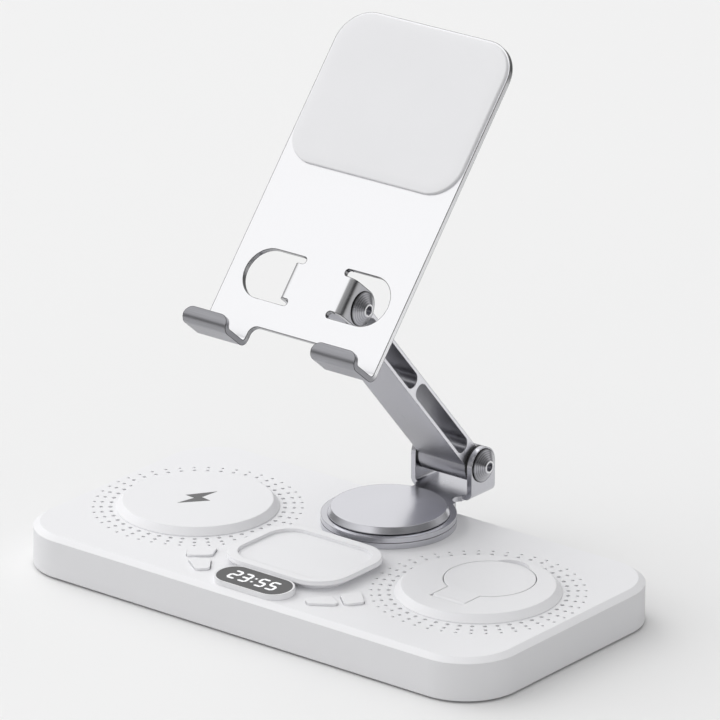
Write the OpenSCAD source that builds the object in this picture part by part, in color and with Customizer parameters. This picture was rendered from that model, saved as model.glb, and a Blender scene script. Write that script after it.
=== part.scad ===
// Desk charging station: a flat base with a phone pad, a flip-up watch puck, an earbud tray
// and a clock, and a turning, folding stand whose bent sheet holds a second phone upright.
// Millimetres, Z up. The origin is on the table, under the middle of the base.

/* [Base] */
// Length of the base, left to right
base_l = 200; // [196:1:210]
// Depth of the base, front to back
base_w = 104; // [102:1:110]
// Height of the base housing without its feet
base_h = 14.6; // [14.6:0.1:17]
// Radius of the base corners in plan
corner_r = 20; // [17:0.5:23]
// Width of the bevel round the top of the base
bevel_w = 2.3; // [1.8:0.1:2.4]
// How far the rubber feet lift the base off the table
foot_h = 0.8; // [0.6:0.1:1.2]
// Radius of the flat top of a charging pad
pad_r = 25.6; // [25.2:0.1:26]

/* [Stand] */
// Distance between the two hinges of the arm
arm_len = 99.75; // [96:0.25:110]
// Width of the arm
arm_w = 20; // [19:0.5:22]
// Thickness of the arm between its faces
arm_t = 8; // [7.5:0.1:8.6]
// Angle of the arm above the table
arm_lean = 49.1; // [46:0.1:60]
// Thickness of the bent sheet of bracket and phone plate
sheet_t = 1.9; // [1.7:0.1:2.1]

/* [Phone plate] */
// Width of the phone plate
plate_w = 72.5; // [70:0.5:80]
// Reach of the phone plate above its hinge
plate_up = 96.85; // [90:0.25:104]
// Slope of the phone plate above the table
plate_tilt = 49.8; // [45:0.1:56]
// Depth of the hooks that carry the phone, in front of the plate
hook_d = 12.6; // [11.6:0.1:15]

/* [Hidden] */
$fn = 96;
top_z = foot_h + base_h;
wall = 2.2;
roof = 2;
bevel_d = 1.56;
cover_t = 1.6;
cover_z = foot_h + cover_t;

front_y = -base_w / 2;
back_y = base_w / 2;

pad_x = base_l / 2 - pad_r - 14.1;
pad_h = 2.7;
pad_top = top_z + pad_h;
pad_foot = pad_r + 2.15;
hole_pitch = 8;
turn_y = back_y - 24;
ring_r = 23;
ring_h = 2.1;
plate_z = top_z + ring_h + 0.1;
deck_z = plate_z + sheet_t;

clock_y = front_y + 9.1;
clock_a = 15.4;
clock_b = 6.6;
glass_a = 14.65;
glass_b = 6.1;
clock_z = top_z + 2.2;
clock_tilt = 3.4;

tray_l = 48;
tray_w = base_w - 66;
tray_r = tray_w * 0.32;
tray_y = clock_y + clock_b + 0.6 + tray_w / 2;
tray_top = top_z + 3.6;
tray_rim = 3.4;
spigot_r = tray_w / 2 - 4.05;

key_h = 0.8;
key_upper = [[-33.7, 16.7], [-29.2, 20.6], [-31, 24.5], [-35.9, 19.8]];
key_lower = [[-29.9, 13.4], [-23.9, 9.4], [-22.5, 10.8], [-26.2, 15.7]];
dome_at = [[-32.5, 20.4], [-26, 12.4]];
key_post_at = [[-37, 25], [-28.5, 7.4], [-35, 12]];
key_board_z = 8;
dome_h = top_z - roof - 2.2 - key_board_z - 1;
key_round = 1.5;
key_gap = 0.22;

ear_in = arm_w / 2 + 1.1;
ear_out = ear_in + sheet_t;
ear_r = 6.45;
bend_in = 1;
bend_out = bend_in + sheet_t;
hinge_y = turn_y + 35;
hinge_z = 13.6 + top_z;
top_y = hinge_y - arm_len * cos(arm_lean);
top_hz = hinge_z + arm_len * sin(arm_lean);
axle_r = 3.6;
bolt_r = 2.5;

face_n = 10.54;
back_n = face_n - sheet_t;
hook_in = plate_w / 2 - 18.25;
hook_s = -26.1;
edge_s = -18.3;
plate_rr = 12.5;

puck_y = 6;
puck_r = 15.25;
puck_t = 6.8;
dish_r = 12.8;
dish_d = 0.55;
tab_w = 13.1;
tab_end = -17.15;
pin_y = -15.2;
pin_z = pad_top - 2;

seat_x = base_l / 2 - 22;
seat_y = base_w / 2 - 20;
boss_x = base_l / 2 - 14;
boss_y = base_w / 2 - 14;
boss_at = [[-boss_x, -boss_y], [boss_x, -boss_y], [-boss_x, boss_y], [boss_x, boss_y],
    [-30, back_y - 7], [30, back_y - 7]];
board_y = back_y - 16.75;
board_at = [[-22, board_y - 10.25], [22, board_y - 10.25], [-22, board_y + 10.25], [22, board_y + 10.25]];
ballast_w = base_w - 58;
cushion_len = 55.8;
cushion_edge = 0.85;

// Plan of a rounded rectangle about the middle.
module rounded(l, w, r) {
    square([l - 2 * r, w], center = true);
    square([l, w - 2 * r], center = true);
    for (sx = [-1, 1])
        for (sy = [-1, 1])
            translate([sx * (l / 2 - r), sy * (w / 2 - r)])
                circle(r);
}

// Plan of a pill: a straight middle with two round ends.
module pill(a, b) {
    square([2 * (a - b), 2 * b], center = true);
    for (s = [-1, 1])
        translate([s * (a - b), 0])
            circle(b);
}

// Direction square to the edge that runs from a to b, outward from a left-hand turning outline.
function out_dir(a, b) = atan2(a[0] - b[0], b[1] - a[1]);

// How far the outline turns from direction u to direction v.
function swing(u, v) = v < u ? v - u + 360 : v - u;

// Points of the outline that runs at distance r round the points p.
function round_out(p, r) = [
    for (i = [0:len(p) - 1])
        let (u = out_dir(p[(i + len(p) - 1) % len(p)], p[i]))
            let (v = out_dir(p[i], p[(i + 1) % len(p)]))
                for (k = [0:5])
                    p[i] + r * [cos(u + swing(u, v) * k / 5), sin(u + swing(u, v) * k / 5)]];

// Plan drawn round a convex set of points, every corner rounded by r.
module soft(p, r) {
    polygon(round_out(p, r));
}

// Rounded block with a straight bevel round its top edge, standing on z = 0.
module bevel_block(l, w, r, h, bw, bd) {
    for (q = [0:3]) {
        sx = (q == 0 || q == 3) ? 1 : -1;
        sy = (q < 2) ? 1 : -1;
        translate([sx * (l / 2 - r), sy * (w / 2 - r), 0])
            rotate([0, 0, 90 * q])
                rotate_extrude(angle = 90)
                    polygon([[0, 0], [r, 0], [r, h - bd], [r - bw, h], [0, h]]);
    }
    rotate([90, 0, 90])
        linear_extrude(l - 2 * r, center = true)
            polygon([[-w / 2, 0], [w / 2, 0], [w / 2, h - bd], [w / 2 - bw, h],
                [bw - w / 2, h], [-w / 2, h - bd]]);
    rotate([90, 0, 0])
        linear_extrude(w - 2 * r, center = true)
            polygon([[-l / 2, 0], [l / 2, 0], [l / 2, h - bd], [l / 2 - bw, h],
                [bw - l / 2, h], [-l / 2, h - bd]]);
}

// The three rings of small vent holes round one charging pad.
module vents() {
    for (i = [0:360 / hole_pitch - 1]) {
        rotate([0, 0, i * hole_pitch])
            translate([pad_foot + 1.85, 0])
                circle(0.72);
        rotate([0, 0, i * hole_pitch])
            translate([pad_foot + 5, 0])
                circle(0.62);
        rotate([0, 0, i * hole_pitch])
            translate([pad_foot + 7.7, 0])
                circle(0.5);
    }
}

module base_shell() {
    color("whitesmoke")
        difference() {
            translate([0, 0, foot_h])
                bevel_block(base_l, base_w, corner_r, base_h, bevel_w, bevel_d);
            difference() {
                translate([0, 0, foot_h - 1])
                    linear_extrude(base_h - roof + 1)
                        rounded(base_l - 2 * wall, base_w - 2 * wall, corner_r - wall);
                for (p = boss_at)
                    translate([p[0], p[1], cover_z])
                        cylinder(h = base_h, r = 3.2);
                for (s = [-1, 1])
                    for (p = key_post_at)
                        translate([s * p[0], front_y + p[1], key_board_z + 1])
                            cylinder(h = base_h, r = 1.4);
            }
            for (p = boss_at)
                translate([p[0], p[1], cover_z - 1])
                    cylinder(h = 9, r = 1.2);
            for (s = [-1, 1])
                translate([s * pad_x, 0, top_z - roof - 1])
                    linear_extrude(roof + 2)
                        mirror([s < 0 ? 1 : 0, 0])
                            vents();
            translate([-pad_x, 0, top_z - roof - 1])
                cylinder(h = roof + 2, r = pad_r - 3.6);
            translate([pad_x, 0, top_z - roof - 1])
                cylinder(h = roof + 2, r = pad_r - 1);
            translate([0, turn_y, top_z - roof - 1])
                cylinder(h = roof + 2, r = 9);
            for (a = [30, 150, 270])
                translate([0, turn_y, top_z - roof - 1])
                    rotate([0, 0, a])
                        translate([15, 0, 0])
                            cylinder(h = roof + 2, r = 1.6);
            translate([0, tray_y, top_z - roof - 1])
                cylinder(h = roof + 2, r = spigot_r + 0.05);
            translate([0, clock_y, top_z - roof - 1])
                linear_extrude(roof + 2)
                    pill(clock_a - 2, clock_b - 2);
            for (s = [0, 1])
                mirror([s, 0, 0])
                    translate([0, front_y, top_z - roof - 1])
                        linear_extrude(roof + 2) {
                            soft(key_upper, key_round + key_gap);
                            soft(key_lower, key_round + key_gap);
                        }
            translate([0, back_y + 1, cover_z + 5.75])
                rotate([90, 0, 0])
                    linear_extrude(wall + 3)
                        pill(4.7, 1.85);
        }
}

module base_cover() {
    color("gainsboro")
        difference() {
            union() {
                translate([0, 0, foot_h])
                    linear_extrude(cover_t)
                        rounded(base_l - 2 * wall - 0.3, base_w - 2 * wall - 0.3, corner_r - wall - 0.15);
                for (p = board_at)
                    translate([p[0], p[1], foot_h])
                        cylinder(h = cover_t + 2.5, r = 2.3);
            }
            for (p = boss_at)
                translate([p[0], p[1], foot_h - 1])
                    cylinder(h = cover_t + 2, r = 1.6);
            for (p = boss_at)
                translate([p[0], p[1], foot_h])
                    cylinder(h = 0.9, r = 3);
            for (sx = [-1, 1])
                for (sy = [-1, 1])
                    translate([sx * seat_x, sy * seat_y, foot_h - 1])
                        cylinder(h = 1.6, r = 6);
            for (p = board_at)
                translate([p[0], p[1], cover_z])
                    cylinder(h = 4, r = 0.9);
        }
}

module rubber_feet() {
    color("dimgray")
        for (sx = [-1, 1])
            for (sy = [-1, 1])
                translate([sx * seat_x, sy * seat_y, 0])
                    rotate_extrude()
                        polygon([[0, 0], [5.4, 0], [5.9, 0.4], [5.9, foot_h + 0.6], [0, foot_h + 0.6]]);
}

module cover_screws() {
    color("silver")
        for (p = boss_at)
            translate([p[0], p[1], foot_h])
                difference() {
                    union() {
                        translate([0, 0, 0.1])
                            cylinder(h = 0.8, r = 2.7);
                        cylinder(h = 7, r = 1.2);
                    }
                    translate([0, 0, -0.1])
                        cylinder(h = 0.7, r = 1.1, $fn = 6);
                }
}

module ballast_plate() {
    color("slategray")
        translate([0, front_y + 11 + ballast_w / 2, cover_z])
            linear_extrude(2.5)
                difference() {
                    rounded(base_l - 50, ballast_w, 6);
                    for (s = [-1, 1])
                        translate([s * (base_l / 2 - 40), 0])
                            circle(3);
                }
}

module main_board() {
    color("darkgreen")
        translate([0, 0, cover_z + 2.5])
            linear_extrude(1.6)
                difference() {
                    translate([0, board_y])
                        rounded(50, 27, 2);
                    for (p = board_at)
                        translate(p)
                            circle(1.2);
                }
}

module board_parts() {
    color("black")
        translate([0, board_y, cover_z + 4.1]) {
            translate([-16, -1.25, 0])
                linear_extrude(0.9)
                    rounded(7, 7, 0.4);
            translate([14, 2.75, 0])
                linear_extrude(0.9)
                    rounded(5, 5, 0.4);
            translate([16, -6.25, 0])
                linear_extrude(2.6)
                    rounded(6.6, 6.6, 1);
            translate([-8, -8.25, 0])
                linear_extrude(2.6)
                    rounded(6.6, 6.6, 1);
            for (i = [0:5])
                translate([-19 + i * 2.4, 8.75, 0])
                    linear_extrude(0.8)
                        square([1.2, 2], center = true);
            for (i = [0:3])
                translate([9 + i * 2.4, 8.75, 0])
                    linear_extrude(0.8)
                        square([1.2, 2], center = true);
        }
}

module board_screws() {
    color("silver")
        for (p = board_at)
            translate([p[0], p[1], cover_z])
                difference() {
                    union() {
                        translate([0, 0, 4.1])
                            cylinder(h = 1.2, r = 1.9);
                        translate([0, 0, 0.4])
                            cylinder(h = 4, r = 0.9);
                    }
                    translate([0, 0, 4.7])
                        cylinder(h = 1, r = 0.9, $fn = 6);
                }
}

module usb_socket() {
    color("silver")
        translate([0, back_y - wall - 0.1, cover_z + 5.75])
            rotate([90, 0, 0]) {
                difference() {
                    linear_extrude(7.4)
                        pill(4.5, 1.65);
                    translate([0, 0, -1])
                        linear_extrude(6.4)
                            pill(4.2, 1.35);
                }
                translate([0, 0, 0.8])
                    linear_extrude(5)
                        square([6.7, 0.7], center = true);
            }
}

module phone_pad() {
    color("white")
        translate([-pad_x, 0, top_z])
            difference() {
                rotate_extrude()
                    polygon([[0, pad_h - 1.3], [pad_r - 4.8, pad_h - 1.3], [pad_r - 4.8, -roof],
                        [pad_r - 3.65, -roof], [pad_r - 3.65, 0], [pad_foot, 0], [pad_foot, 0.3],
                        [pad_r, pad_h], [0, pad_h]]);
                translate([0, 0, pad_h - 0.4])
                    linear_extrude(1)
                        bolt_plan();
            }
}

// Plain lightning flash.
module bolt_plan() {
    polygon([[0.9, 9.2], [-5.5, 0], [-1.5, -0.3], [-3.1, -7.4], [4.4, 1.3], [0.2, 1.9]]);
}

module bolt_mark() {
    color("dimgray")
        translate([-pad_x, 0, pad_top - 0.4])
            linear_extrude(0.4)
                bolt_plan();
}

module phone_coil() {
    color("darkgoldenrod")
        translate([-pad_x, 0, pad_top - 2.5])
            rotate_extrude()
                for (i = [0:8])
                    translate([pad_r - 15 + i * 1.14, 0.6])
                        circle(0.52);
}

module phone_ferrite() {
    color("black")
        translate([-pad_x, 0, pad_top - 3.4])
            difference() {
                cylinder(h = 0.9, r = pad_r - 5);
                translate([0, 0, -1])
                    cylinder(h = 3, r = 2);
            }
}

// Plan of the puck: a disc with a tab toward the front, both grown by g.
module puck_plan(g) {
    translate([0, puck_y])
        circle(puck_r + g);
    translate([0, (puck_y + tab_end) / 2 - g / 2])
        square([tab_w + 2 * g, puck_y - tab_end + g], center = true);
}

module watch_pad() {
    color("white")
        translate([pad_x, 0, top_z])
            difference() {
                union() {
                    rotate_extrude()
                        polygon([[0, 0], [pad_foot, 0], [pad_foot, 0.3], [pad_r, pad_h], [0, pad_h]]);
                    translate([0, 0, pad_h - puck_t - 1.3])
                        linear_extrude(puck_t)
                            puck_plan(1.6);
                    translate([0, 0, -roof])
                        difference() {
                            cylinder(h = roof + 1, r = pad_r - 1.1);
                            translate([0, 0, -1])
                                cylinder(h = roof + 1, r = pad_r - 2.3);
                        }
                }
                translate([0, 0, pad_h - puck_t - 0.1])
                    linear_extrude(8)
                        puck_plan(0.3);
                difference() {
                    translate([-1, 17, pad_h - 1.1])
                        cylinder(h = 2, r = 7);
                    translate([0, puck_y, 0])
                        cylinder(h = 9, r = puck_r);
                }
                translate([-tab_w / 2 - 1.5, pin_y, pad_h - 2])
                    rotate([0, 90, 0])
                        cylinder(h = tab_w + 3, r = 0.8);
            }
}

module puck_shell() {
    color("white")
        difference() {
            union() {
                translate([pad_x, puck_y, pad_top - puck_t + 1.2])
                    cylinder(h = puck_t - 1.2, r = puck_r);
                translate([pad_x - tab_w / 2, pin_y, pad_top - 4])
                    cube([tab_w, puck_y - pin_y, 4]);
                translate([pad_x - tab_w / 2, pin_y, pin_z])
                    rotate([0, 90, 0])
                        cylinder(h = tab_w, r = 1.95);
            }
            translate([pad_x, puck_y, pad_top - puck_t])
                cylinder(h = puck_t - 1.8, r = 13.4);
            translate([pad_x, puck_y, pad_top])
                rotate_extrude()
                    polygon([for (i = [0:7]) i < 7 ? [dish_r * i / 6, -dish_d * (1 - pow(i / 6, 2))] : [0, 1]]);
            translate([pad_x - tab_w / 2 - 1, pin_y, pin_z])
                rotate([0, 90, 0])
                    cylinder(h = tab_w + 2, r = 0.85);
        }
}

module puck_base() {
    color("gainsboro")
        translate([pad_x, puck_y, pad_top - puck_t]) {
            cylinder(h = 1.2, r = puck_r - 0.45);
            cylinder(h = 2, r = 13.3);
        }
}

module puck_coil() {
    color("darkgoldenrod")
        translate([pad_x, puck_y, pad_top - puck_t + 2.6])
            rotate_extrude()
                for (i = [0:4])
                    translate([6.4 + i * 1.24, 0.8])
                        circle(0.58);
}

module puck_magnet() {
    color("silver")
        translate([pad_x, puck_y, pad_top - puck_t + 2])
            cylinder(h = 2.6, r = 5);
}

module puck_pin() {
    color("silver")
        translate([pad_x - tab_w / 2 - 1.4, pin_y, pin_z])
            rotate([0, 90, 0])
                cylinder(h = tab_w + 2.8, r = 0.8);
}

module earbud_tray() {
    color("white")
        translate([0, tray_y, 0])
            difference() {
                union() {
                    translate([0, 0, tray_top - 1.5])
                        bevel_block(tray_l + 0.6, tray_w + 0.6, tray_r + 0.3, 1.5, 0.3, 1.5 - 0.2);
                    translate([0, 0, top_z])
                        linear_extrude(2.2)
                            rounded(tray_l - 5, tray_w - 5, tray_r - 2.5);
                    translate([0, 0, top_z - roof])
                        cylinder(h = roof + 1, r = spigot_r);
                }
                translate([0, 0, tray_top - 1.1])
                    linear_extrude(2)
                        rounded(tray_l - 2 * tray_rim, tray_w - 2 * tray_rim, tray_r - tray_rim);
                translate([0, 0, top_z - roof - 1])
                    cylinder(h = roof + 2.6, r = spigot_r - 1.95);
            }
}

module tray_coil() {
    color("darkgoldenrod")
        translate([0, tray_y, top_z + 0.7])
            rotate_extrude()
                for (i = [0:floor((spigot_r - 9.44) / 1.1)])
                    translate([6 + i * 1.1, 0.45])
                        circle(0.44);
}

module tray_ferrite() {
    color("black")
        translate([0, tray_y, top_z])
            difference() {
                cylinder(h = 0.65, r = spigot_r - 2.35);
                translate([0, 0, -1])
                    cylinder(h = 3, r = 3);
            }
}

module clock_bezel() {
    color("white")
        translate([0, clock_y, 0])
            difference() {
                translate([0, 0, top_z])
                    linear_extrude(4)
                        pill(clock_a, clock_b);
                translate([0, 0, clock_z])
                    rotate([clock_tilt, 0, 0])
                        translate([-40, -20, 0])
                            cube([80, 40, 10]);
                translate([0, 0, clock_z])
                    rotate([clock_tilt, 0, 0])
                        translate([0, 0, -1])
                            linear_extrude(3)
                                pill(glass_a, glass_b);
                translate([0, 0, top_z - 1])
                    linear_extrude(5)
                        pill(clock_a - 2.2, clock_b - 2.2);
            }
}

// One bar of a digit, from point a to point b.
module bar(a, b) {
    d = (b - a) / norm(b - a);
    n = [-d[1], d[0]] * 0.5;
    polygon([a - n, b - n, b + d * 0.45, b + n, a + n, a - d * 0.45]);
}

// The lit bars of one digit; f marks the seven bars from the top round to the middle.
module digit(f) {
    p = [[-1.45, 2.65], [1.45, 2.65], [1.45, 0], [1.45, -2.65], [-1.45, -2.65], [-1.45, 0]];
    s = 0.4;
    if (f[0] == 1)
        bar(p[0] + [s, 0], p[1] - [s, 0]);
    if (f[1] == 1)
        bar(p[1] - [0, s], p[2] + [0, s]);
    if (f[2] == 1)
        bar(p[2] - [0, s], p[3] + [0, s]);
    if (f[3] == 1)
        bar(p[3] - [s, 0], p[4] + [s, 0]);
    if (f[4] == 1)
        bar(p[4] + [0, s], p[5] - [0, s]);
    if (f[5] == 1)
        bar(p[5] + [0, s], p[0] - [0, s]);
    if (f[6] == 1)
        bar(p[5] + [s, 0], p[2] - [s, 0]);
}

// The time shown, as a plan on the window.
module time_plan() {
    translate([-8.2, 0])
        digit([1, 1, 0, 1, 1, 0, 1]);
    translate([-3.7, 0])
        digit([1, 1, 1, 1, 0, 0, 1]);
    translate([-0.2, 1.3])
        square([0.9, 0.9], center = true);
    translate([-0.2, -1.3])
        square([0.9, 0.9], center = true);
    translate([3.3, 0])
        digit([1, 0, 1, 1, 0, 1, 1]);
    translate([7.9, 0])
        digit([1, 0, 1, 1, 0, 1, 1]);
}

module clock_window() {
    color("black")
        translate([0, clock_y, clock_z])
            rotate([clock_tilt, 0, 0])
                translate([0, 0, -1])
                    linear_extrude(0.96)
                        difference() {
                            pill(glass_a - 0.03, glass_b - 0.03);
                            time_plan();
                        }
}

module clock_digits() {
    color("white")
        translate([0, clock_y, clock_z])
            rotate([clock_tilt, 0, 0]) {
                translate([0, 0, -1])
                    linear_extrude(0.96)
                        time_plan();
                translate([0, 0, -1.5])
                    linear_extrude(0.5)
                        square([20.8, 7.4], center = true);
            }
}

module clock_board() {
    color("darkgreen")
        translate([0, clock_y, top_z - 1.6])
            linear_extrude(1)
                pill(clock_a - 2.3, clock_b - 2.3);
}

// One key: a cap that stands in the roof, a lip that holds it in, and a stem over its dome.
module key_body(p, c) {
    translate([0, front_y, top_z - roof - 0.1])
        linear_extrude(roof + 0.1 + key_h)
            soft(p, key_round);
    translate([0, front_y, top_z - roof - 0.9])
        linear_extrude(0.8)
            soft(p, key_round + 0.9);
    translate([c[0], front_y + c[1], top_z - roof - 1.6])
        cylinder(h = 1, r = 1.4);
}

module key_left_rear() {
    color("whitesmoke")
        key_body(key_upper, dome_at[0]);
}

module key_left_front() {
    color("whitesmoke")
        key_body(key_lower, dome_at[1]);
}

module key_right_rear() {
    color("whitesmoke")
        mirror([1, 0, 0])
            key_body(key_upper, dome_at[0]);
}

module key_right_front() {
    color("whitesmoke")
        mirror([1, 0, 0])
            key_body(key_lower, dome_at[1]);
}

module key_domes() {
    color("gray")
        for (s = [-1, 1])
            for (p = dome_at)
                translate([s * p[0], front_y + p[1], key_board_z + 1])
                    rotate_extrude()
                        polygon([[0, 0], [2.6, 0], [2.6, 0.4], [1.7, dome_h], [0, dome_h]]);
}

module key_boards() {
    color("darkgreen")
        for (s = [-1, 1])
            translate([s * -31, front_y + 16.25, key_board_z])
                linear_extrude(1)
                    rounded(17, 22.5, 2);
}

module fixed_ring() {
    color("silver")
        translate([0, turn_y, 0])
            difference() {
                union() {
                    translate([0, 0, top_z])
                        cylinder(h = ring_h, r = ring_r);
                    translate([0, 0, top_z - 4])
                        cylinder(h = 5, r = 8.95);
                    translate([0, 0, top_z])
                        cylinder(h = deck_z - top_z + 0.1, r = 7);
                }
                translate([0, 0, top_z + ring_h - 0.45])
                    difference() {
                        cylinder(h = 1, r = 21);
                        translate([0, 0, -1])
                            cylinder(h = 3, r = 10.6);
                    }
                translate([0, 0, top_z + 0.6])
                    rotate([0, 0, 6])
                        rotate_extrude(angle = 168)
                            translate([7.4, 0])
                                square([2.5, 3]);
                for (a = [30, 150, 270])
                    rotate([0, 0, a])
                        translate([15, 0, top_z - 1])
                            cylinder(h = 2.3, r = 1.3);
                translate([0, 0, top_z - 5])
                    cylinder(h = 12, r = 1.9);
            }
}

module ring_screws() {
    color("silver")
        for (a = [30, 150, 270])
            translate([0, turn_y, top_z - roof - 1.5])
                rotate([0, 0, a])
                    translate([15, 0, 0])
                        difference() {
                            union() {
                                cylinder(h = 1.5, r = 2.6);
                                cylinder(h = roof + 2.7, r = 1.3);
                            }
                            translate([0, 0, -0.1])
                                cylinder(h = 1, r = 1.2, $fn = 6);
                        }
}

module slip_washer() {
    color("lightgray")
        translate([0, turn_y, top_z + ring_h - 0.45])
            difference() {
                cylinder(h = 0.5, r = 20.9);
                translate([0, 0, -1])
                    cylinder(h = 3, r = 10.7);
            }
}

// One upright ear of the bracket with the bend that joins it to the deck; side s is -1 or 1.
module bracket_ear(s) {
    mirror([s < 0 ? 1 : 0, 0, 0]) {
        translate([ear_in, 0, 0])
            rotate([90, 0, 90])
                linear_extrude(sheet_t)
                    difference() {
                        union() {
                            translate([hinge_y - ear_r, plate_z + bend_out])
                                square([2 * ear_r, hinge_z - plate_z - bend_out]);
                            translate([hinge_y, hinge_z])
                                circle(ear_r);
                        }
                        translate([hinge_y, hinge_z])
                            circle(bolt_r + 0.05);
                    }
        translate([ear_in - bend_in, hinge_y - ear_r, plate_z + bend_out])
            rotate([-90, 0, 0])
                rotate_extrude_quarter();
    }
}

// Quarter bend of the sheet, a quarter pipe along z, as wide as an ear.
module rotate_extrude_quarter() {
    rotate_extrude(angle = 90)
        translate([bend_in, 0])
            square([sheet_t, 2 * ear_r]);
}

module swivel_bracket() {
    color("silver")
        union() {
            translate([0, 0, plate_z])
                linear_extrude(sheet_t)
                    difference() {
                        union() {
                            translate([0, turn_y])
                                circle(ring_r - 0.06);
                            translate([-12, turn_y])
                                square([24, 24.5]);
                            translate([-(ear_in - bend_in), turn_y + 20])
                                square([2 * (ear_in - bend_in), hinge_y + ear_r - turn_y - 20]);
                        }
                        for (s = [-1, 1])
                            translate([s * 12, turn_y + 24.5])
                                circle(3.2);
                        translate([0, turn_y])
                            circle(7.05);
                        translate([0, turn_y + 8.65])
                            circle(1.1);
                    }
            bracket_ear(1);
            bracket_ear(-1);
        }
}

module stop_pin() {
    color("silver")
        translate([0, turn_y + 8.65, top_z + 0.8])
            cylinder(h = deck_z - top_z - 0.8, r = 1.1);
}

module hub_washer() {
    color("silver")
        translate([0, turn_y, deck_z + 0.1])
            rotate_extrude()
                polygon([[2, 0], [11, 0], [11, 1.3], [3.7, 1.3], [2, 0.2]]);
}

module hub_screw() {
    color("dimgray")
        translate([0, turn_y, deck_z + 0.1])
            difference() {
                rotate_extrude()
                    polygon([[0, -9], [1.9, -9], [1.9, 0.15], [3.6, 1.28], [0, 1.28]]);
                translate([0, 0, 0.2])
                    cylinder(h = 2, r = 1.45, $fn = 6);
            }
}

module turn_cap() {
    color("silver")
        translate([0, turn_y, deck_z])
            rotate_extrude()
                polygon([[0, 1.65], [12, 1.65], [12, 0], [18, 0], [18, 0.25], [20.7, 0.25], [20.7, 0.45],
                    [19.6, 2.48], [0, 2.48]]);
}

module arm() {
    color("gray")
        translate([0, hinge_y, hinge_z])
            rotate([180 - arm_lean, 0, 0])
                rotate([90, 0, 90])
                    linear_extrude(arm_w, center = true)
                        difference() {
                            union() {
                                translate([0, -arm_t / 2])
                                    square([arm_len, arm_t]);
                                circle(6.4);
                                translate([arm_len, 0])
                                    circle(6.4);
                            }
                            for (s = [-1, 1])
                                translate([arm_len / 2 + s * (arm_len / 4 - 4.15), 0])
                                    pill(arm_len / 4 - 5.15, arm_t / 2 - 1.15);
                            circle(axle_r + 0.05);
                            translate([arm_len, 0])
                                circle(axle_r + 0.05);
                        }
}

// Threaded sleeve that an end of the arm turns on, lying along x.
module axle() {
    rotate([0, 90, 0])
        difference() {
            cylinder(h = 2 * ear_in, r = axle_r, center = true);
            cylinder(h = 2 * ear_in + 2, r = bolt_r, center = true);
        }
}

// Pair of turned hinge screws with cone heads and hexagon sockets.
module cone_screws() {
    for (s = [0, 1])
        mirror([s, 0, 0])
            translate([ear_out, 0, 0])
                rotate([0, 90, 0])
                    difference() {
                        rotate_extrude()
                            polygon([[0, -10], [bolt_r, -10], [bolt_r, 0], [5.95, 0], [5.95, 0.25],
                                [2.15, 2.8], [0, 2.8]]);
                        translate([0, 0, 0.6])
                            cylinder(h = 3, r = 1.73, $fn = 6);
                    }
}

// Pair of flat washers that fill the gaps between arm and ears.
module gap_washers() {
    for (s = [0, 1])
        mirror([s, 0, 0])
            translate([arm_w / 2 + 0.05, 0, 0])
                rotate([0, 90, 0])
                    difference() {
                        cylinder(h = ear_in - arm_w / 2 - 0.05, r = 6.3);
                        translate([0, 0, -1])
                            cylinder(h = 5, r = axle_r);
                    }
}

module lower_axle() {
    color("silver")
        translate([0, hinge_y, hinge_z])
            axle();
}

module lower_screws() {
    color("silver")
        translate([0, hinge_y, hinge_z])
            cone_screws();
}

module lower_washers() {
    color("black")
        translate([0, hinge_y, hinge_z])
            gap_washers();
}

module upper_axle() {
    color("silver")
        translate([0, top_y, top_hz])
            axle();
}

module upper_screws() {
    color("silver")
        translate([0, top_y, top_hz])
            cone_screws();
}

module upper_washers() {
    color("black")
        translate([0, top_y, top_hz])
            gap_washers();
}

// Flat outline of the phone plate about its hinge, with the openings its ears were bent out of.
module plate_plan() {
    difference() {
        union() {
            translate([-plate_w / 2, edge_s])
                square([plate_w, plate_up - plate_rr - edge_s]);
            translate([-(plate_w / 2 - plate_rr), edge_s])
                square([plate_w - 2 * plate_rr, plate_up - edge_s]);
            for (s = [-1, 1]) {
                translate([s * (plate_w / 2 - plate_rr), plate_up - plate_rr])
                    circle(plate_rr);
                translate([s * (plate_w / 2 + hook_in) / 2, (edge_s + hook_s + sheet_t + 1.2) / 2])
                    square([plate_w / 2 - hook_in, edge_s - hook_s - sheet_t - 1.2], center = true);
                difference() {
                    translate([s * (hook_in - 1.5), edge_s - 1.5])
                        square([3, 3], center = true);
                    translate([s * (hook_in - 3), edge_s - 3])
                        circle(3);
                }
            }
        }
        for (s = [-1, 1]) {
            translate([s * (ear_out - bend_out + 5.5), 0])
                square([11, 18], center = true);
            translate([s * (ear_out - bend_out + 11), 0])
                circle(9);
            for (t = [-1, 1])
                translate([s * (ear_out - bend_out - 0.6), t * 7.72])
                    circle(1.28);
        }
    }
}

// Side view of one hook: ledge and lip with their two bends, from the foot of the plate.
module hook_side() {
    c = hook_s + sheet_t + 1.2;
    f = face_n + hook_d - sheet_t;
    translate([c, face_n + 1.2])
        difference() {
            circle(1.2 + sheet_t);
            circle(1.2);
            translate([0, -9])
                square([9, 18]);
            translate([-9, 0])
                square([18, 9]);
        }
    translate([hook_s, face_n + 1.2])
        square([sheet_t, hook_d - sheet_t - 2.4]);
    translate([c, f - 1.2])
        difference() {
            circle(1.2 + sheet_t);
            circle(1.2);
            translate([0, -9])
                square([9, 18]);
            translate([-9, -9])
                square([18, 9]);
        }
    translate([c, f])
        square([2.4, sheet_t]);
}

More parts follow.
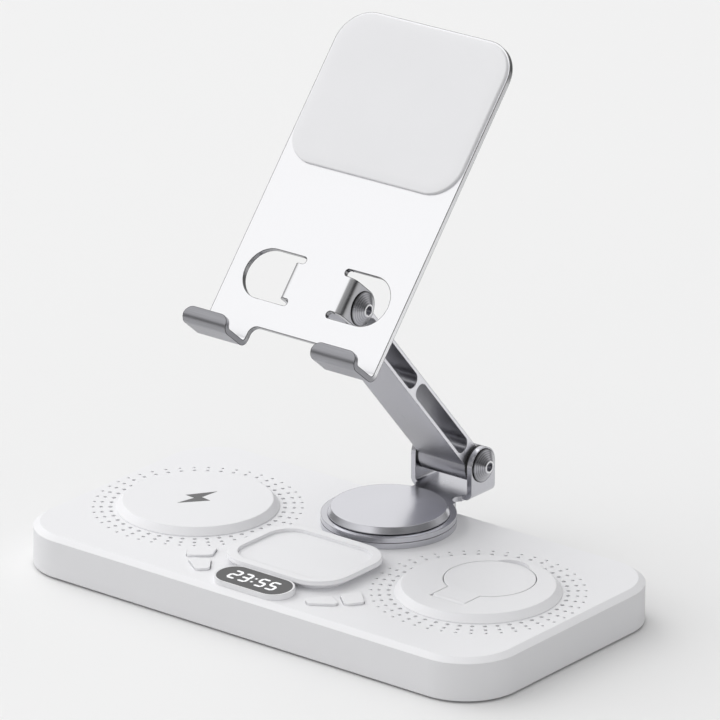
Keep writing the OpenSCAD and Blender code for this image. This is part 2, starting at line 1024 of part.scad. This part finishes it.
// One ear of the phone plate, bent back beside its opening.
module plate_ear(s) {
    mirror([s < 0 ? 1 : 0, 0, 0]) {
        translate([ear_in, 0, 0])
            rotate([90, 0, 90])
                linear_extrude(sheet_t)
                    difference() {
                        union() {
                            translate([-ear_r, 0])
                                square([2 * ear_r, face_n - bend_out]);
                            circle(ear_r);
                        }
                        circle(bolt_r + 0.05);
                    }
        translate([ear_in - bend_in, ear_r, face_n - bend_out])
            rotate([90, 0, 0])
                rotate_extrude_quarter();
    }
}

module phone_plate() {
    color("silver")
        translate([0, top_y, top_hz])
            rotate([plate_tilt, 0, 0])
                union() {
                    translate([0, 0, back_n])
                        linear_extrude(sheet_t)
                            plate_plan();
                    difference() {
                        for (s = [-1, 1])
                            translate([s * (plate_w / 2 + hook_in) / 2, 0, 0])
                                rotate([90, 0, 90])
                                    linear_extrude(plate_w / 2 - hook_in, center = true)
                                        hook_side();
                        for (s = [-1, 1])
                            for (t = [-1, 1])
                                translate([s * (plate_w / 2 + hook_in) / 2, 0, face_n + hook_d - 3])
                                    mirror([t < 0 ? 1 : 0, 0, 0])
                                        translate([(plate_w / 2 - hook_in) / 2 - 3.4, hook_s + 2.1, 0])
                                            linear_extrude(9)
                                                difference() {
                                                    square([5, 5]);
                                                    circle(3.4);
                                                }
                    }
                    plate_ear(1);
                    plate_ear(-1);
                }
}

module phone_cushion() {
    color("lightgray")
        translate([0, top_y, top_hz])
            rotate([plate_tilt, 0, 0])
                translate([0, plate_up - cushion_edge - cushion_len / 2, face_n])
                    linear_extrude(1)
                        rounded(plate_w - 2 * cushion_edge, cushion_len, 11.4);
}

base_shell();
base_cover();
rubber_feet();
cover_screws();
ballast_plate();
main_board();
board_parts();
board_screws();
usb_socket();
phone_pad();
bolt_mark();
phone_coil();
phone_ferrite();
watch_pad();
puck_shell();
puck_base();
puck_coil();
puck_magnet();
puck_pin();
earbud_tray();
tray_coil();
tray_ferrite();
clock_bezel();
clock_window();
clock_digits();
clock_board();
key_left_rear();
key_left_front();
key_right_rear();
key_right_front();
key_domes();
key_boards();
fixed_ring();
ring_screws();
slip_washer();
swivel_bracket();
stop_pin();
hub_washer();
hub_screw();
turn_cap();
arm();
lower_axle();
lower_screws();
lower_washers();
upper_axle();
upper_screws();
upper_washers();
phone_plate();
phone_cushion();
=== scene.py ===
import bpy
import bmesh
from math import cos, pi, radians, sin
from mathutils import Matrix, Vector


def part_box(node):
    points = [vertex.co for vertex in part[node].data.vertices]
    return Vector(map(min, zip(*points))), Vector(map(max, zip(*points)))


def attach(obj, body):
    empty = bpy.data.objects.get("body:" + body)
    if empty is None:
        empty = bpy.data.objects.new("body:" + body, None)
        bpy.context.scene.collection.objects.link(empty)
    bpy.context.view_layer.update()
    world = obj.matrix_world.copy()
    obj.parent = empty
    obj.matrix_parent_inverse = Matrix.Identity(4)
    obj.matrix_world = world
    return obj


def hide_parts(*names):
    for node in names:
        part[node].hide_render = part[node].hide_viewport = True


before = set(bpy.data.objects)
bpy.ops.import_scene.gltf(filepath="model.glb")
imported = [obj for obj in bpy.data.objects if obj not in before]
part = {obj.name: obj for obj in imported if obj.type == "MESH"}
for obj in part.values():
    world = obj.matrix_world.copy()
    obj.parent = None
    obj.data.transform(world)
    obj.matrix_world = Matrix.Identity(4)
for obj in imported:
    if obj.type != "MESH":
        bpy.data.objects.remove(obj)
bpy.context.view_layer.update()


# The table and the light round it. A plain pale table top runs far behind the station.
# Most light comes from a pale room, strongest from high on the left, and two weak square lamps
# sharpen it a little. Bare metal mirrors the room, with its darker low and right-hand sides.
class Wire:
    """One socket of a shader tree, for writing shader sums as plain sums."""

    def __init__(self, tree, socket):
        self.tree = tree
        self.socket = socket

    def sum(self, how, first, second=None, clamp=False):
        node = self.tree.nodes.new("ShaderNodeMath")
        node.operation = how
        node.use_clamp = clamp
        for slot, value in zip(node.inputs, (first, second)):
            if isinstance(value, Wire):
                self.tree.links.new(value.socket, slot)
            elif value is not None:
                slot.default_value = value
        return Wire(self.tree, node.outputs[0])

    def __add__(self, other):
        return self.sum("ADD", self, other)

    def __radd__(self, other):
        return self.sum("ADD", other, self)

    def __sub__(self, other):
        return self.sum("SUBTRACT", self, other)

    def __rsub__(self, other):
        return self.sum("SUBTRACT", other, self)

    def __mul__(self, other):
        return self.sum("MULTIPLY", self, other)

    def __rmul__(self, other):
        return self.sum("MULTIPLY", other, self)

    def power(self, other):
        return self.sum("POWER", self, other)

    def clamped(self):
        return self.sum("ADD", self, 0.0, clamp=True)

    def step(self, low, high):
        """0 below low, 1 above high, straight between them."""
        return ((self - low) * (1.0 / (high - low))).clamped()


class Finish:
    """A material or world being made: node() adds a node of any kind and returns its first output."""

    def __init__(self, holder):
        holder.use_nodes = True
        self.holder = holder
        self.tree = holder.node_tree
        self.tree.nodes.clear()

    def node(self, kind, settings=None, inputs=None, out=0):
        node = self.tree.nodes.new(kind)
        for key, value in (settings or {}).items():
            setattr(node, key, value)
        for key, value in (inputs or {}).items():
            slot = node.inputs[key]
            if isinstance(value, Wire):
                self.tree.links.new(value.socket, slot)
            else:
                slot.default_value = value
        return Wire(self.tree, node.outputs[out])

    def place(self):
        """Where a point lies on the station, in metres."""
        return self.node("ShaderNodeTexCoord", out="Object")

    def parts_of(self, vector):
        """The x, y and z of a vector."""
        node = self.tree.nodes.new("ShaderNodeSeparateXYZ")
        self.tree.links.new(vector.socket, node.inputs[0])
        return [Wire(self.tree, s) for s in node.outputs]

    def blend(self, how_much, first, second):
        """Mix of two colours."""
        return self.node("ShaderNodeMix", {"data_type": "RGBA"},
                         {0: how_much, 6: first, 7: second}, out=2)

    def rim(self, rounded):
        """0 on a flat face, up to 1 where the rounded normal leaves it at an edge."""
        plain = self.node("ShaderNodeNewGeometry", out="True Normal")
        lean = self.node("ShaderNodeVectorMath", {"operation": "DOT_PRODUCT"}, {0: plain, 1: rounded},
                         out="Value")
        return (1.0 - lean).step(0.01, 0.12)

    def end(self, shader, kind="ShaderNodeOutputMaterial"):
        """Joins the shader to the output and returns the finished material or world."""
        node = self.tree.nodes.new(kind)
        self.tree.links.new(shader.socket, node.inputs["Surface"])
        return self.holder


def grey(tone, cool=0.02):
    """A cool grey as it would be read off a screen, 0 to 255, as linear light."""
    c = tone / 255.0
    c = c / 12.92 if c <= 0.04045 else ((c + 0.055) / 1.055) ** 2.4
    return (c, c, c * (1.0 + cool), 1.0)


scene = bpy.context.scene
scene.view_settings.view_transform = "Standard"

eye = bpy.data.cameras.new("eye")
eye.lens = 369.31  # a long lens, 2.5 m off: the near and far ends keep almost the same scale
eye.sensor_width = 36.0
eye.clip_start = 0.1
eye.clip_end = 20.0
camera = bpy.data.objects.new("eye", eye)
turn = radians(38.827)  # how far the camera stands round to the right of the front
rise = radians(20.752)  # how steeply it looks down
camera.matrix_world = Matrix((
    (cos(turn), -sin(turn) * sin(rise), sin(turn) * cos(rise), 1.4389),
    (sin(turn), cos(turn) * sin(rise), -cos(turn) * cos(rise), -1.7753),
    (0.0, cos(rise), sin(rise), 0.9485),
    (0.0, 0.0, 0.0, 1.0)))
scene.collection.objects.link(camera)
scene.camera = camera

table = bpy.data.meshes.new("table_top")
table.from_pydata([(-6, -6, 0), (6, -6, 0), (6, 9, 0), (-6, 9, 0)], [], [(0, 1, 2, 3)])
table_top = bpy.data.objects.new("table_top", table)
scene.collection.objects.link(table_top)
look = Finish(bpy.data.materials.new("table_paint"))
grain = look.node("ShaderNodeTexNoise", inputs={"Vector": look.place(), "Scale": 3.0, "Detail": 2.0})
direct = look.node("ShaderNodeLightPath", out="Is Camera Ray")
mirrored = look.node("ShaderNodeLightPath", out="Is Glossy Ray")
x, y, z = look.parts_of(look.place())
far = (x * x + y * y).power(0.5).step(0.32, 0.85)
# The table lights the housing less than it shows, and metal mirrors its far part darker.
bounced = look.blend(mirrored, grey(190, 0), grey(232, 0))
paint = look.blend(direct, look.blend(mirrored * far, bounced, grey(120, 0)),
                   look.blend(grain, grey(237, 0), grey(239, 0)))
table.materials.append(look.end(look.node("ShaderNodeBsdfPrincipled", inputs={
    "Base Color": paint, "Roughness": 0.8, "Specular IOR Level": 0.15})))


def lamp(name, place, size, power):
    """A square soft lamp that faces the middle of the station."""
    data = bpy.data.lights.new(name, "AREA")
    data.shape = "SQUARE"
    data.size = size
    data.energy = power
    thing = bpy.data.objects.new(name, data)
    aim = Vector((0, 0, 0.05)) - Vector(place)
    thing.matrix_world = Matrix.Translation(place) @ aim.to_track_quat("-Z", "Y").to_matrix().to_4x4()
    scene.collection.objects.link(thing)


lamp("left_lamp", (-1.8, 0.6, 1.9), 1.2, 4.0)
lamp("top_lamp", (0.1, 0.4, 2.4), 1.8, 3.0)

room = Finish(bpy.data.worlds.new("room"))
scene.world = room.holder
x, y, z = room.parts_of(room.node("ShaderNodeTexCoord", out="Generated"))
# What falls on the station: a wide window high on the left, less from the front and the right.
window = (z * 0.6 - x * 0.8).clamped().power(3.0)
soft = 0.17 + 2.15 * window + 0.53 * (0.0 - y).clamped() + 0.6 * x.clamped()
# What metal mirrors: pale above, dark low down in front, by the camera and along the right.
behind = y.step(-0.1, 0.5)
above = z.step(0.16, 0.52) * (1.0 - behind) + z.step(0.0, 0.3) * behind
shade = (x * 0.8 + y * 0.6).step(0.2, 0.9)
card = (x * 0.45 - y * 0.55 + z * 0.70).step(0.86, 0.97)
wall = x.step(0.45, 0.8) * (1.0 - z.step(0.6, 0.8))
mirror = (0.25 + 0.71 * above) * (1.0 - 0.3 * shade) * (1.0 - 0.7 * card) * (1.0 - 0.7 * wall)
plain = room.node("ShaderNodeLightPath", out="Is Camera Ray")
glossy = room.node("ShaderNodeLightPath", out="Is Glossy Ray")
strength = plain * 0.9 + glossy * mirror + (1.0 - plain - glossy).clamped() * soft
white = (1.0, 1.0, 1.0, 1.0)
room.end(room.node("ShaderNodeBackground", inputs={"Color": white, "Strength": strength}),
         "ShaderNodeOutputWorld")


# The housing: one white moulding of satin plastic, open below, with a straight bevel round its
# top, and a flat matt cover let in under it. The mould leaves a very fine orange-peel surface,
# and every edge is softened by a fraction of a millimetre.
def moulded(name, colour, rough, soft=0.00035, peel=0.05, peel_size=900.0):
    """Moulded plastic: a faint cloudy tone, fine peel, softened edges."""
    look = Finish(bpy.data.materials.new(name))
    place = look.place()
    cloud = look.node("ShaderNodeTexNoise", inputs={"Vector": place, "Scale": 14.0, "Detail": 3.0})
    fine = look.node("ShaderNodeTexNoise", inputs={"Vector": place, "Scale": peel_size, "Detail": 2.0})
    edge = look.node("ShaderNodeBevel", {"samples": 6}, {"Radius": soft})
    rise = look.node("ShaderNodeBump", inputs={"Strength": peel, "Distance": 0.00005,
                                               "Height": fine, "Normal": edge})
    darker = tuple(v * 0.965 for v in colour[:3]) + (1.0,)
    return look.end(look.node("ShaderNodeBsdfPrincipled", inputs={
        "Base Color": look.blend(cloud, darker, colour), "Roughness": rough + 0.06 * (cloud - 0.5),
        "Specular IOR Level": 0.42, "Normal": rise}))


def dress(material, *names):
    """Puts a material on nodes that keep their CAD shape."""
    for name in names:
        slots = part[name].data.materials
        if not slots:
            slots.append(material)
        for i in range(len(slots)):
            slots[i] = material


dress(moulded("white_shell", grey(239), 0.42), "base_shell")
dress(moulded("white_cover", grey(226), 0.6, peel=0.12), "base_cover", "puck_base")


# Four soft rubber feet in pockets of the cover, and the small plated screws that hold the cover.
# The plating is shared by all small steel pieces.
SOCKET_R = 0.0016  # the sizes of a turned hinge screw: its socket, the flat round it, its head
LIP_R = 0.00205
HEAD_R = 0.0058


def plated(name, colour, rough, soft=0.0002, line=0.0, axis=None, pitch=0.0):
    """Bare or plated metal. line paints its edges darker, as painted shade; axis is the place (y, z) of a
    line along x that the tool marks of a turned screw run round, with a painted highlight on the flat ring
    round its socket and a dark line of painted shade round the rim of its head."""
    look = Finish(bpy.data.materials.new(name))
    place = look.place()
    cloud = look.node("ShaderNodeTexNoise", inputs={"Vector": place, "Scale": 60.0, "Detail": 4.0})
    edge = look.node("ShaderNodeBevel", {"samples": 6}, {"Radius": soft})
    height = look.node("ShaderNodeTexNoise", inputs={"Vector": place, "Scale": 2600.0, "Detail": 1.0})
    darker = tuple(v * 0.93 for v in colour[:3]) + (1.0,)
    tone = look.blend(cloud, darker, colour)
    # Painted shade: the rounded edges are darkened towards grey(70), by as much as line says.
    tone = look.blend(look.rim(edge) * line, tone, grey(70))
    if axis is not None:
        x, y, z = look.parts_of(place)
        u, v = y - axis[0], z - axis[1]
        ring = (u * u + v * v).power(0.5)
        turned = ring * (2 * pi / pitch)
        wave = turned.sum("SINE", turned)
        height = wave + 0.35 * height
        tone = look.blend(0.25 + 0.25 * wave, tone, grey(90))
        # Painted highlight: the flat ring round the socket is painted near white.
        painted_lip_highlight = ring.step(SOCKET_R - 0.00005, SOCKET_R + 0.00005) * (1.0 - ring.step(LIP_R, LIP_R + 0.0002))
        tone = look.blend(painted_lip_highlight, tone, grey(240))
        # Painted shade: a dark line round the rim of the head, where it sits on the ear.
        tone = look.blend(ring.step(HEAD_R - 0.0002, HEAD_R), tone, grey(45))
    rise = look.node("ShaderNodeBump", inputs={"Strength": 0.12, "Distance": 0.00004,
                                               "Height": height, "Normal": edge})
    return look.end(look.node("ShaderNodeBsdfPrincipled", inputs={
        "Base Color": tone, "Metallic": 1.0, "Roughness": rough + 0.08 * (cloud - 0.5),
        "Normal": rise}))


dress(moulded("foot_rubber", grey(70), 0.85, soft=0.0003, peel=0.3, peel_size=1500.0), "rubber_feet")
dress(plated("zinc_plate", grey(205), 0.32), "cover_screws", "board_screws", "ring_screws",
      "usb_socket", "puck_pin", "stop_pin", "hub_washer", "lower_axle", "upper_axle")


# Inside the housing: a blanked steel plate for weight, the main board with its chips, the two
# small key boards with soft domes, and the board behind the clock.
dress(plated("ballast_steel", grey(150), 0.5), "ballast_plate")

board = Finish(bpy.data.materials.new("solder_mask"))
track = board.node("ShaderNodeTexVoronoi", {"feature": "DISTANCE_TO_EDGE"},
                   {"Vector": board.place(), "Scale": 420.0})
line = 1.0 - track.step(0.03, 0.06)
rise = board.node("ShaderNodeBump", inputs={"Strength": 0.3, "Distance": 0.00003, "Height": line})
dark_green = (0.006, 0.09, 0.03, 1.0)
track_green = (0.02, 0.17, 0.06, 1.0)
dress(board.end(board.node("ShaderNodeBsdfPrincipled", inputs={
    "Base Color": board.blend(line, dark_green, track_green), "Roughness": 0.32 + 0.1 * line,
    "Normal": rise})), "main_board", "key_boards", "clock_board")
dress(moulded("black_epoxy", grey(40), 0.55, peel=0.25), "board_parts")
dress(moulded("dome_silicone", grey(165), 0.7, peel=0.2), "key_domes")


# The phone pad: a raised round moulding with a sloping rim and an inlaid flash in dark grey,
# over a coil of enamelled wire on a ferrite sheet.
white_pad = moulded("white_pad", grey(239), 0.36, soft=0.0005)
dress(white_pad, "phone_pad")
dress(moulded("grey_inlay", grey(104), 0.5), "bolt_mark")
dress(moulded("ferrite_sheet", grey(55), 0.7, peel=0.3), "phone_ferrite", "tray_ferrite")


def winding(name, node, inner, outer, turns, wire, body):
    """A flat spiral of round wire, wound from inner to outer in the middle of the node's box."""
    low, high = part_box(node)
    tree = bpy.data.node_groups.new(name + "_winding", "GeometryNodeTree")
    face = tree.interface
    face.new_socket("Geometry", in_out="INPUT", socket_type="NodeSocketGeometry")
    wanted = (("Turns", turns), ("Inner radius", inner), ("Outer radius", outer),
              ("Wire radius", wire / 2))
    ids = [(face.new_socket(label, in_out="INPUT", socket_type="NodeSocketFloat").identifier, value)
           for label, value in wanted]
    face.new_socket("Geometry", in_out="OUTPUT", socket_type="NodeSocketGeometry")
    given = tree.nodes.new("NodeGroupInput")
    spiral = tree.nodes.new("GeometryNodeCurveSpiral")
    spiral.inputs["Resolution"].default_value = 40
    spiral.inputs["Height"].default_value = 0.0
    ring = tree.nodes.new("GeometryNodeCurvePrimitiveCircle")
    ring.inputs["Resolution"].default_value = 8
    sweep = tree.nodes.new("GeometryNodeCurveToMesh")
    sweep.inputs["Fill Caps"].default_value = True
    shift = tree.nodes.new("GeometryNodeTransform")
    shift.inputs["Translation"].default_value = (low + high) / 2
    real = tree.nodes.new("GeometryNodeRealizeInstances")
    paint = tree.nodes.new("GeometryNodeSetMaterial")
    paint.inputs["Material"].default_value = enamel
    result = tree.nodes.new("NodeGroupOutput")
    for source, target in (
            (given.outputs["Turns"], spiral.inputs["Rotations"]),
            (given.outputs["Inner radius"], spiral.inputs["Start Radius"]),
            (given.outputs["Outer radius"], spiral.inputs["End Radius"]),
            (given.outputs["Wire radius"], ring.inputs["Radius"]),
            (spiral.outputs["Curve"], sweep.inputs["Curve"]),
            (ring.outputs["Curve"], sweep.inputs["Profile Curve"]),
            (sweep.outputs["Mesh"], shift.inputs["Geometry"]),
            (shift.outputs["Geometry"], real.inputs["Geometry"]),
            (real.outputs["Geometry"], paint.inputs["Geometry"]),
            (paint.outputs["Geometry"], result.inputs["Geometry"])):
        tree.links.new(source, target)

    # The tree runs on an empty mesh, and the plain mesh that it makes is kept.
    seed = bpy.data.objects.new(name + "_seed", bpy.data.meshes.new(name + "_seed"))
    scene.collection.objects.link(seed)
    modifier = seed.modifiers.new("grow", "NODES")
    modifier.node_group = tree
    for key, value in ids:
        modifier[key] = value
    ready = seed.evaluated_get(bpy.context.evaluated_depsgraph_get())
    mesh = bpy.data.meshes.new_from_object(ready)
    mesh.name = name
    seed.modifiers.clear()
    bpy.data.objects.remove(seed)
    piece = bpy.data.objects.new(name, mesh)
    scene.collection.objects.link(piece)
    mesh.shade_smooth()
    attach(piece, body)
    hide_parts(node)


enamel = plated("enamelled_wire", (0.72, 0.24, 0.07, 1.0), 0.28)
winding("phone_winding", "phone_coil", 0.0106, 0.0197, 8.0, 0.00098, "base")


# The watch pad: the same moulding with a well for the puck and a finger scoop behind it. The
# puck is a white shell with a slightly dished top, on a steel pin, with a coil round a magnet.
dress(white_pad, "watch_pad", "puck_shell")
winding("puck_winding", "puck_coil", 0.0064, 0.0112, 4.0, 0.00112, "watch_puck")
dress(plated("nickel", grey(205), 0.2), "puck_magnet")


# The earbud tray: a thin white moulding on an inset foot, with a rounded rim round a shallow
# recess that the case lies in, and a small coil on a ferrite sheet below.
dress(white_pad, "earbud_tray")
winding("tray_winding", "tray_coil", 0.006, 0.0115, 5.0, 0.0009, "base")


# The clock: a pill-shaped white bezel with a dark tinted window let in at a slant. The time shows
# as plain white digits of lit light guide, level with the window.
dress(white_pad, "clock_bezel")
glass = Finish(bpy.data.materials.new("tinted_window"))
haze = glass.node("ShaderNodeTexNoise", inputs={"Vector": glass.place(), "Scale": 220.0, "Detail": 2.0})
dress(glass.end(glass.node("ShaderNodeBsdfPrincipled", inputs={
    "Base Color": glass.blend(haze, grey(70), grey(76)), "Roughness": 0.3 + 0.05 * haze})),
    "clock_window")
lit = Finish(bpy.data.materials.new("lit_digits"))
glow = lit.node("ShaderNodeTexNoise", inputs={"Vector": lit.place(), "Scale": 300.0, "Detail": 1.0})
dress(lit.end(lit.node("ShaderNodeBsdfPrincipled", inputs={
    "Base Color": grey(235), "Roughness": 0.4, "Emission Color": lit.blend(glow, grey(240), grey(255)),
    "Emission Strength": 0.25})), "clock_digits")


# Four white key caps, two on each side of the clock, with rounded corners. They stand a little
# out of the housing and share its finish.
dress(moulded("white_key", grey(238), 0.4, soft=0.0003),
      "key_left_rear", "key_left_front", "key_right_rear", "key_right_front")


# The turntable: a silver ring fixed to the housing, the bracket bent from one sheet of aluminium
# that turns on it, and a smooth satin cap with a turned bevel over the pivot.
dress(moulded("slip_plastic", grey(205), 0.5), "slip_washer")
dress(plated("black_oxide", grey(60), 0.45), "hub_screw")
# The cap, the bracket and the fixed ring have their edges painted darker (line), as painted shade.
dress(plated("turned_cap", grey(221, 0.06), 0.2, soft=0.0003, line=0.4), "turn_cap")
dress(plated("satin_silver", grey(210, 0.06), 0.26, soft=0.0003, line=0.5),
      "swivel_bracket", "fixed_ring")


# The arm: a slotted aluminium section, sawn off square to its width and brushed along its length,
# turning on steel sleeves between black washers, whose black also stands in for the shade between
# the arm's end and the ears. Cone-headed socket screws clamp the ears.
def sawn_bar(name, colour, painted_side_tone, rough, tilt):
    """Aluminium with fine lines along a bar that leans by tilt. Its sawn sides, which face along x,
    are painted lighter with the colour painted_side_tone, as painted light, and its rounded edges are
    painted darker, as painted shade."""
    look = Finish(bpy.data.materials.new(name))
    place = look.place()
    level = look.node("ShaderNodeMapping", {"vector_type": "POINT"},
                      {"Vector": place, "Rotation": (tilt, 0.0, 0.0)})
    stretched = look.node("ShaderNodeVectorMath", {"operation": "MULTIPLY"},
                          {0: level, 1: (2600.0, 45.0, 2600.0)})
    line = look.node("ShaderNodeTexNoise", inputs={"Vector": stretched, "Scale": 1.0, "Detail": 3.0})
    edge = look.node("ShaderNodeBevel", {"samples": 6}, {"Radius": 0.0004})
    rise = look.node("ShaderNodeBump", inputs={"Strength": 0.18, "Distance": 0.00004,
                                               "Height": line, "Normal": edge})
    darker = tuple(v * 0.9 for v in colour[:3]) + (1.0,)
    facing = look.node("ShaderNodeTexCoord", out="Normal")
    side = look.node("ShaderNodeVectorMath", {"operation": "DOT_PRODUCT"},
                     {0: facing, 1: (1.0, 0.0, 0.0)}, out="Value")
    # Painted light: the sides facing along x are lighter than the other faces of the same metal.
    sawn = (side * side).step(0.5, 0.9)
    faces = look.blend(sawn, look.blend(line, darker, colour), painted_side_tone)
    # Painted shade: the rounded edges are darkened towards grey(60).
    return look.end(look.node("ShaderNodeBsdfPrincipled", inputs={
        "Base Color": look.blend(0.5 * look.rim(edge), faces, grey(60)), "Metallic": 1.0,
        "Roughness": rough + 0.1 * (line - 0.5), "Normal": rise}))


ARM_LEAN = radians(49.1)
LOWER_HINGE = Vector((0.0, 0.063, 0.029))
UPPER_HINGE = Vector((0.0, -0.00231, 0.1044))
# Lit and shaded tones of one metal, painted: 180 on the faces, 240 on the sawn sides.
dress(sawn_bar("arm_metal", grey(180, 0.06), grey(240, 0.04), 0.3, ARM_LEAN), "arm")
# The washers are black nylon; their black also stands in for shade between the arm and the ears.
dress(moulded("black_nylon_and_painted_shade", grey(30), 0.45), "lower_washers", "upper_washers")
for name, hinge, node in (("turned_lower", LOWER_HINGE, "lower_screws"),
                          ("turned_upper", UPPER_HINGE, "upper_screws")):
    dress(plated(name, grey(204, 0.06), 0.26, axis=hinge.yz, pitch=0.0006), node)


# The phone plate: one sheet of aluminium, cut, bent into two hooks and two hinge ears, blasted
# and anodised silver. The hooks are brushed along their folds. The hooks and the ears are painted darker
# than the front, as painted shade, and so are the side faces of the sheet but for its right-hand side,
# with dark lines of painted shade along its edges.
SLOPE = radians(49.8)
look = Finish(bpy.data.materials.new("silver_anodised"))
place = look.place()
x, y, z = look.parts_of(place)
up = (y - UPPER_HINGE.y) * cos(SLOPE) + (z - UPPER_HINGE.z) * sin(SLOPE)
out = (z - UPPER_HINGE.z) * cos(SLOPE) - (y - UPPER_HINGE.y) * sin(SLOPE)
# The hooks lie below the foot of the plate and in front of it, the ears behind it.
hook = (1.0 - up.step(-0.0246, -0.0226) + out.step(0.0125, 0.0140)).clamped()
ear = 1.0 - out.step(0.0050, 0.0080)
brushed = look.node("ShaderNodeVectorMath", {"operation": "MULTIPLY"},
                    {0: place, 1: (60.0, 2400.0, 2400.0)})
line = look.node("ShaderNodeTexNoise", inputs={"Vector": brushed, "Scale": 1.0, "Detail": 3.0})
blast = look.node("ShaderNodeTexNoise", inputs={"Vector": place, "Scale": 3000.0, "Detail": 1.0})
grain = blast + hook * (3.0 * (line - 0.5) - blast)
edge = look.node("ShaderNodeBevel", {"samples": 8}, {"Radius": 0.0005})
facing = look.node("ShaderNodeTexCoord", out="Normal")
across = look.node("ShaderNodeVectorMath", {"operation": "DOT_PRODUCT"},
                   {0: facing, 1: (0.0, -sin(SLOPE), cos(SLOPE))}, out="Value")
# right_side: the outer right-hand edge, which is left out of the painted shade on the side faces.
right_side = x.step(0.0354, 0.0358)
painted_side_tone = (1.0 - (across * across).step(0.1, 0.4)) * (1.0 - right_side) * (1.0 - hook) * (1.0 - ear)
rise = look.node("ShaderNodeBump", inputs={"Strength": 0.08, "Distance": 0.00004,
                                           "Height": grain, "Normal": edge})
# Painted shade: the ears (185) and the hooks (143 to 175, streaked with their brushed grain) are darker
# than the front (248).
tone = look.blend(hook, look.blend(ear, grey(248), grey(185, 0.06)),
                  look.blend(line, grey(143, 0.06), grey(175, 0.06)))
# Painted shade on the side faces of the sheet.
tone = look.blend(0.75 * painted_side_tone, tone, grey(110))
# Painted shade: dark lines along the rounded edges.
tone = look.blend(0.95 * look.rim(edge), tone, grey(30))
dress(look.end(look.node("ShaderNodeBsdfPrincipled", inputs={
    "Base Color": tone, "Metallic": 1.0, "Roughness": 0.2 + 0.12 * hook + 0.03 * blast,
    "Normal": rise})), "phone_plate")


# The silicone sheet: a soft pale sheet of one millimetre, stamped with rounded corners and stuck
# on the upper half of the plate, with its upper edge rounded over.
def rounded_loop(half_x, half_y, radius, count):
    """Points of a rounded rectangle, turning left."""
    points = []
    for quarter, (sx, sy) in enumerate(((1, 1), (-1, 1), (-1, -1), (1, -1))):
        for i in range(count + 1):
            a = (quarter + i / count) * pi / 2
            points.append((sx * (half_x - radius) + radius * cos(a),
                           sy * (half_y - radius) + radius * sin(a)))
    return points


def lofted(name, loops, material, body, node, turn):
    """A shell through closed loops of points, each as long as the last, with its ends filled."""
    mesh = bpy.data.meshes.new(name)
    shape = bmesh.new()
    rings = [[shape.verts.new(p) for p in loop] for loop in loops]
    for first, second in zip(rings, rings[1:]):
        for i in range(len(first)):
            j = (i + 1) % len(first)
            shape.faces.new((first[i], first[j], second[j], second[i]))
    shape.faces.new(list(reversed(rings[0])))
    shape.faces.new(rings[-1])
    bmesh.ops.recalc_face_normals(shape, faces=shape.faces)
    bmesh.ops.transform(shape, matrix=turn, verts=shape.verts)
    shape.to_mesh(mesh)
    shape.free()
    mesh.shade_smooth()
    mesh.set_sharp_from_angle(angle=radians(42))
    mesh.materials.append(material)
    piece = bpy.data.objects.new(name, mesh)
    scene.collection.objects.link(piece)
    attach(piece, body)
    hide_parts(node)


silicone = Finish(bpy.data.materials.new("silicone_sheet"))
spot = silicone.place()
dust = silicone.node("ShaderNodeTexNoise", inputs={"Vector": spot, "Scale": 35.0, "Detail": 4.0})
matt = silicone.node("ShaderNodeTexNoise", inputs={"Vector": spot, "Scale": 2400.0, "Detail": 1.0})
skin = silicone.end(silicone.node("ShaderNodeBsdfPrincipled", inputs={
    "Base Color": silicone.blend(dust, grey(230), grey(235)), "Roughness": 0.62 + 0.06 * dust,
    "Specular IOR Level": 0.35, "Sheen Weight": 0.06,
    "Normal": silicone.node("ShaderNodeBump", inputs={"Strength": 0.2, "Distance": 0.00004,
                                                      "Height": matt})}))
HALF_X, HALF_Y, CORNER, THICK, ROUND = 0.0354, 0.0279, 0.0114, 0.001, 0.00045
MIDDLE = 0.0681  # of the sheet, up the plate from the line of the hinge
FACE = 0.01054  # the front of the plate, out from the same line
profile = [(0.0, 0.0), (0.0, THICK - ROUND)]
profile += [(ROUND * (1 - cos(a * pi / 8)), THICK - ROUND + ROUND * sin(a * pi / 8)) for a in (1, 2, 3, 4)]
profile += [(0.004, THICK)]
loops = [[Vector((px, MIDDLE + py, FACE + level)) for px, py in
          rounded_loop(HALF_X - inset, HALF_Y - inset, CORNER - inset, 16)] for inset, level in profile]
on_plate = Matrix.Translation(UPPER_HINGE) @ Matrix.Rotation(SLOPE, 4, "X")
lofted("silicone_sheet", loops, skin, "phone_holder", "phone_cushion", on_plate)
